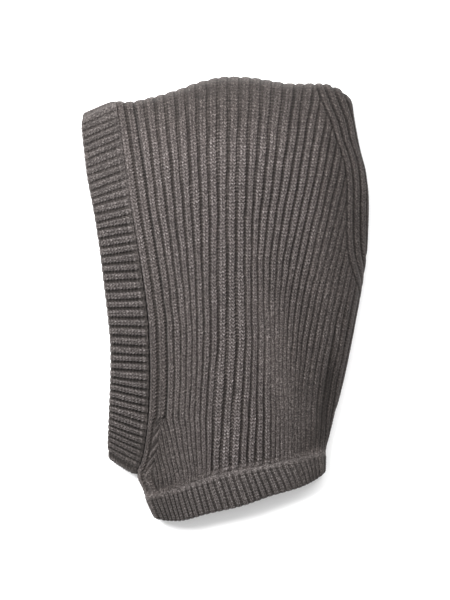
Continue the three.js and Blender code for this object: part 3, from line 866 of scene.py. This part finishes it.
def make_loop(name, path, thickness, pitch, handed, fading_and_shade, plain, relief, dip, bulge):
    """A folded strip of rib in a closed loop, out along the upper side and back along the lower one.

    `plain` is how far from the seam the ribs start, `relief` how strong they are, `dip` how deep the seam is
    pulled in, and `bulge` how far the ribs' crests reach over the seam.
    """
    centre, total = path
    ribs = round(total / pitch)
    columns = ribs * PER_RIB
    rows = 2 * LOOP_STITCHES + 1
    rib = np.arange(columns) // PER_RIB
    in_rib = np.arange(columns) % PER_RIB
    part = SHARES[in_rib][:, None]
    wander = WANDER * np.sin(np.arange(rows) / WANDER_RUN + dice.uniform(0, 2 * math.pi, (ribs, 1)))
    wander = wander + WANDER * dice.uniform(-1, 1, (ribs, 1))
    share_of_rib = rib[:, None] + part + mix(wander[rib], wander[(rib + 1) % ribs], part)
    share_of_rib = share_of_rib + ZIGZAG[in_rib][:, None] * in_and_out(rows)
    travel = share_of_rib * total / ribs
    along = stitch_rows(LOOP_STITCHES, SLANTS[in_rib][:, None]) / LOOP_STITCHES

    half = thickness / 2
    width = np.linalg.norm(centre(travel, 1.0) - centre(travel, 0.0), axis=-1)
    flat = width - half
    length = 2 * flat + math.pi * half
    run = along * length
    nose = np.clip((run - flat) / half, 0, math.pi)
    on_outer, on_inner = run < flat, run > flat + math.pi * half
    across = np.where(on_outer, run, np.where(on_inner, length - run, flat + half * np.sin(nose)))
    out = np.where(on_outer, half, np.where(on_inner, -half, half * np.cos(nose)))
    share = across / width
    middle = centre(travel, share)
    forward = centre(travel + 0.5, share) - centre(travel - 0.5, share)
    sideways = centre(travel, 1.0) - centre(travel, 0.0)
    normal = unit(np.cross(forward, np.broadcast_to(sideways, forward.shape))) * handed
    seam_run = centre(travel + 0.5, 0.0) - centre(travel - 0.5, 0.0)
    outward = unit(np.cross(np.broadcast_to([0.0, 0.0, 1.0], seam_run.shape), seam_run))
    by_seam = 1 - smooth(0, FLAT_BY_SEAM, across)
    normal = unit(normal - by_seam[..., None] * outward * (normal * outward).sum(-1, keepdims=True))
    surface = unit(normal * (out / half)[..., None] + unit(sideways) * np.sin(nose)[..., None])

    height, light, tone = stitch_relief(columns, rows, LOOP_OPEN)
    # painted shade: shaded darkens parts of the strip, and deep the band's lower grooves
    worn, deep, shaded, pulled = fading_and_shade(middle)
    ribbed = smooth(plain, plain + PLAIN_FADE, across)
    crest = 1 + HEIGHTS[in_rib][:, None]
    strength = np.where(out > 0, 1.0, UNDER_RELIEF) * relief * (1 - NOSE_FLATTER * np.sin(nose))
    height = mix(PLAIN_LEVEL, height, ribbed) * strength
    height = height * (1 + DEEP_RELIEF * deep) * (1 - WORN_FLATTER * worn)
    light = mix(PLAIN_LIGHT, mix(light, WORN_LIGHT, worn), ribbed)
    light = light * (1 - DEEPER_LOW * deep * (1 - crest)) * (1 - shaded)
    seam_dip = dip * near(across, SEAM_DIP_REACH) * np.where(out > 0, 1, INNER_DIP)
    overhang = bulge * crest * near(across, BULGE_REACH) * np.clip(out / half, 0, 1)
    swell = SWELL * np.sin(math.pi * np.clip(share, 0, 1))
    swell = swell * np.where(out > 0, 1, 0) * np.clip(normal[..., 2], 0, 1)
    place = middle + normal * out[..., None] + surface * (height - seam_dip + swell)[..., None]
    place = place - unit(sideways) * overhang[..., None]
    place[..., 2] = np.maximum(place[..., 2], ON_FLOOR)
    # painted shade in the seam's dip
    light = light * (1 - DIP_SHADE * pulled * seam_dip)

    piece = add_grid(name, close_round(place), close_round(light), close_round(tone))
    form = open_form(piece)
    for edge in form.edges:
        ends = {corner.index // (columns + 1) for corner in edge.verts}
        if len(ends) == 1 and ends <= {0, rows - 1, rows}:
            edge.smooth = False
    close_form(piece, form, handed < 0)
    return piece


# Materials
FLECK_SIZE = 640      # the finer the flecks of dark fibre, the higher
LIGHT_FLECK_SIZE = 760
CLOUD_SIZE = 30       # the same for the yarn's darker and lighter stretches
FUZZ_SIZE = 1500      # and for the fuzz on its surface
FUZZ_ROUGHNESS = 0.7
FUZZ_HEIGHT = 0.35    # in millimetres
FUZZ = 0.6            # share of it that shows
DARK_FLECKS = (0.52, 0.40)  # noise values between which the dark fibre begins to show and shows fully
LIGHT_FLECKS = (0.50, 0.64)
CLOUDS = (0.3, 0.7, 0.93, 1.07)     # from and to noise values, and what they do to the colour
STITCH_TONES = (-1, 1, 0.8, 1.2)    # the same for each stitch's tone
BROWNER_GREEN = 1.05  # powers that turn the painted shade in the grooves a little brown
BROWNER_BLUE = 1.1
WOOL_INPUTS = [
    ("Yarn", "NodeSocketColor"),
    ("Dark fibre", "NodeSocketColor"),
    ("Light fibre", "NodeSocketColor"),
    ("Groove shade", "NodeSocketFloat"),
    ("Fuzz", "NodeSocketFloat"),
]
WOOL_OUTPUTS = [("Color", "NodeSocketColor"), ("Normal", "NodeSocketVector")]

# Each wool's yarn, dark fibre and light fibre, and the share of its colour that the painted shade leaves at
# the bottom of its grooves
WOOLS = {
    "body wool": ((0.102, 0.0877, 0.0871), (0.0325, 0.0266, 0.0257), (0.276, 0.253, 0.254), 0.05),
    "band wool": ((0.0808, 0.0711, 0.0707), (0.027, 0.0225, 0.0216), (0.219, 0.202, 0.201), 0.07),
    "hem wool": ((0.091, 0.08, 0.0795), (0.031, 0.0257, 0.0247), (0.24, 0.222, 0.22), 0.08),
}
WOOL_FINISH = {
    "Roughness": 0.95,
    "Specular IOR Level": 0.2,
    "Sheen Weight": 0.15,
    "Sheen Roughness": 0.6,
    "Sheen Tint": (0.75, 0.7, 0.68, 1),
}


def wool_group():
    """Colour and fine surface of heathered wool, darker where a stitch lies deep, from the painted shade in
    the 'light' value.
    """
    group = bpy.data.node_groups.new("heathered wool", "ShaderNodeTree")
    for name, kind in WOOL_INPUTS:
        group.interface.new_socket(name, in_out="INPUT", socket_type=kind)
    for name, kind in WOOL_OUTPUTS:
        group.interface.new_socket(name, in_out="OUTPUT", socket_type=kind)
    nodes = group.nodes
    given = nodes.new("NodeGroupInput")
    result = nodes.new("NodeGroupOutput")
    place = nodes.new("ShaderNodeTexCoord").outputs["Object"]

    def put(value, socket):
        if isinstance(value, bpy.types.NodeSocket):
            group.links.new(value, socket)
        else:
            socket.default_value = value

    def noise(scale, rough=0.6):
        node = nodes.new("ShaderNodeTexNoise")
        node.inputs["Scale"].default_value = scale
        node.inputs["Detail"].default_value = 3
        node.inputs["Roughness"].default_value = rough
        put(place, node.inputs["Vector"])
        return node.outputs["Fac"]

    def spread(value, low, high, to_low=0.0, to_high=1.0):
        node = nodes.new("ShaderNodeMapRange")
        names = ("Value", "From Min", "From Max", "To Min", "To Max")
        for name, setting in zip(names, (value, low, high, to_low, to_high)):
            put(setting, node.inputs[name])
        return node.outputs["Result"]

    def blend(kind, share, first, second):
        node = nodes.new("ShaderNodeMix")
        node.data_type = "RGBA"
        node.blend_type = kind
        for name, setting in (("Factor", share), ("A", first), ("B", second)):
            put(setting, node.inputs[name])
        return node.outputs["Result"]

    def calculate(kind, first, second):
        node = nodes.new("ShaderNodeMath")
        node.operation = kind
        put(first, node.inputs[0])
        put(second, node.inputs[1])
        return node.outputs["Value"]

    def colour_of(red, green, blue):
        node = nodes.new("ShaderNodeCombineColor")
        for name, setting in (("Red", red), ("Green", green), ("Blue", blue)):
            put(setting, node.inputs[name])
        return node.outputs["Color"]

    def value_of(name):
        node = nodes.new("ShaderNodeAttribute")
        node.attribute_name = name
        return node.outputs["Fac"]

    dark = spread(noise(FLECK_SIZE), *DARK_FLECKS)
    light = spread(noise(LIGHT_FLECK_SIZE), *LIGHT_FLECKS)
    cloud = spread(noise(CLOUD_SIZE), *CLOUDS)
    tone = spread(value_of("tone"), *STITCH_TONES)
    colour = blend("MIX", dark, given.outputs["Yarn"], given.outputs["Dark fibre"])
    colour = blend("MIX", light, colour, given.outputs["Light fibre"])
    shade = calculate("MULTIPLY", cloud, tone)
    colour = blend("MULTIPLY", 1.0, colour, colour_of(shade, shade, shade))
    # painted shade: the 'light' value darkens the colour in grooves, creases and seams
    deep = spread(value_of("light"), 0.0, 1.0, given.outputs["Groove shade"], 1.0)
    green, blue = calculate("POWER", deep, BROWNER_GREEN), calculate("POWER", deep, BROWNER_BLUE)
    colour = blend("MULTIPLY", 1.0, colour, colour_of(deep, green, blue))
    bump = nodes.new("ShaderNodeBump")
    bump.inputs["Distance"].default_value = FUZZ_HEIGHT * MM
    put(given.outputs["Fuzz"], bump.inputs["Strength"])
    put(noise(FUZZ_SIZE, FUZZ_ROUGHNESS), bump.inputs["Height"])
    put(colour, result.inputs["Color"])
    put(bump.outputs["Normal"], result.inputs["Normal"])
    return group


def new_material(name, inputs):
    """A material, with these values at the inputs of its shader."""
    material = bpy.data.materials.new(name)
    material.use_nodes = True
    shader = material.node_tree.nodes["Principled BSDF"]
    for socket, value in inputs.items():
        shader.inputs[socket].default_value = value
    return material, shader


def wool_material(name, group):
    material, shader = new_material(name, WOOL_FINISH)
    yarn, dark, light, groove_shade = WOOLS[name]
    wool = material.node_tree.nodes.new("ShaderNodeGroup")
    wool.node_tree = group
    wool.inputs["Yarn"].default_value = (*yarn, 1)
    wool.inputs["Dark fibre"].default_value = (*dark, 1)
    wool.inputs["Light fibre"].default_value = (*light, 1)
    wool.inputs["Groove shade"].default_value = groove_shade
    wool.inputs["Fuzz"].default_value = FUZZ
    material.node_tree.links.new(wool.outputs["Color"], shader.inputs["Base Color"])
    material.node_tree.links.new(wool.outputs["Normal"], shader.inputs["Normal"])
    return material


# Camera, floor and light
CAMERA_AT = (-0.00015, -0.00053, 2.0)   # over the middle of the photograph
OUTLINE_HEIGHT = 0.012      # most of the outline lies this high
VIEW_HEIGHT = 0.516         # the photograph's height at the hood's outline
SENSOR = 36
CLIP = (0.05, 50)           # nearest and farthest distance that the camera sees
FLOOR_SIZE = 8
FLOOR_WHITE = 0.94
SKY_STRENGTH = 0.85
LAMP_SIZE = 0.95

# Each lamp's name, place and watts
LAMPS = [
    ("soft light from the upper left", (-0.75, 0.65, 1.0), 50.5),
    ("weaker light from the upper right", (0.5, 0.85, 1.0), 13),
]

deselect_all()
bpy.ops.object.camera_add(location=CAMERA_AT, rotation=(0, 0, 0))
camera = bpy.context.object
camera.data.sensor_width = SENSOR
camera.data.lens = SENSOR * (CAMERA_AT[2] - OUTLINE_HEIGHT) / VIEW_HEIGHT
camera.data.clip_start, camera.data.clip_end = CLIP
bpy.context.scene.camera = camera

deselect_all()
bpy.ops.mesh.primitive_plane_add(size=FLOOR_SIZE, location=(0, 0, 0))
floor = new_piece("floor")
white, _ = new_material("white floor", {
    "Base Color": (FLOOR_WHITE, FLOOR_WHITE, FLOOR_WHITE, 1),
    "Roughness": 0.8,
    "Specular IOR Level": 0.1,
})
floor.data.materials.append(white)

world = bpy.data.worlds.new("studio")
world.use_nodes = True
world.node_tree.nodes["Background"].inputs["Color"].default_value = (1, 1, 1, 1)
world.node_tree.nodes["Background"].inputs["Strength"].default_value = SKY_STRENGTH
bpy.context.scene.world = world
bpy.context.scene.view_settings.view_transform = "Standard"

for lamp_name, lamp_place, watts in LAMPS:
    deselect_all()
    bpy.ops.object.light_add(type="AREA", location=lamp_place)
    lamp = bpy.context.object
    lamp.name = lamp_name
    lamp.data.shape = "DISK"
    lamp.data.size = LAMP_SIZE
    lamp.data.energy = watts
    lamp.rotation_euler = (-lamp.location).to_track_quat("-Z", "Y").to_euler()

# The hood
wool = wool_group()
body_wool = wool_material("body wool", wool)
band_wool = wool_material("band wool", wool)
hem_wool = wool_material("hem wool", wool)

left_side = make_side("hood_left_side", 1)
finish_piece(left_side, body_wool, "hood_body")
right_side = make_side("hood_right_side", -1)
finish_piece(right_side, body_wool, "hood_body")
band_path = loop_path(CHIN_Y, FOREHEAD_Y, BAND_T, seam_of_band, BAND_EDGE, BAND_CROWDING)
band = make_loop(
    "ribbed_face_band", band_path, BAND_T, BAND_PITCH, handed=1, fading_and_shade=band_fading_and_shade,
    plain=0, relief=0.78, dip=1.3, bulge=0.8,
)
finish_piece(band, band_wool, "face_band")
hem_path = loop_path(NECK_LINE["x"][0], NECK_LINE["x"][-1], HEM_T, seam_of_hem, HEM_EDGE, HEM_CROWDING)
hem = make_loop(
    "ribbed_neck_hem", hem_path, HEM_T, HEM_PITCH, handed=-1, fading_and_shade=hem_fading_and_shade,
    plain=1.2, relief=0.75, dip=0.2, bulge=0,
)
finish_piece(hem, hem_wool, "neck_hem")
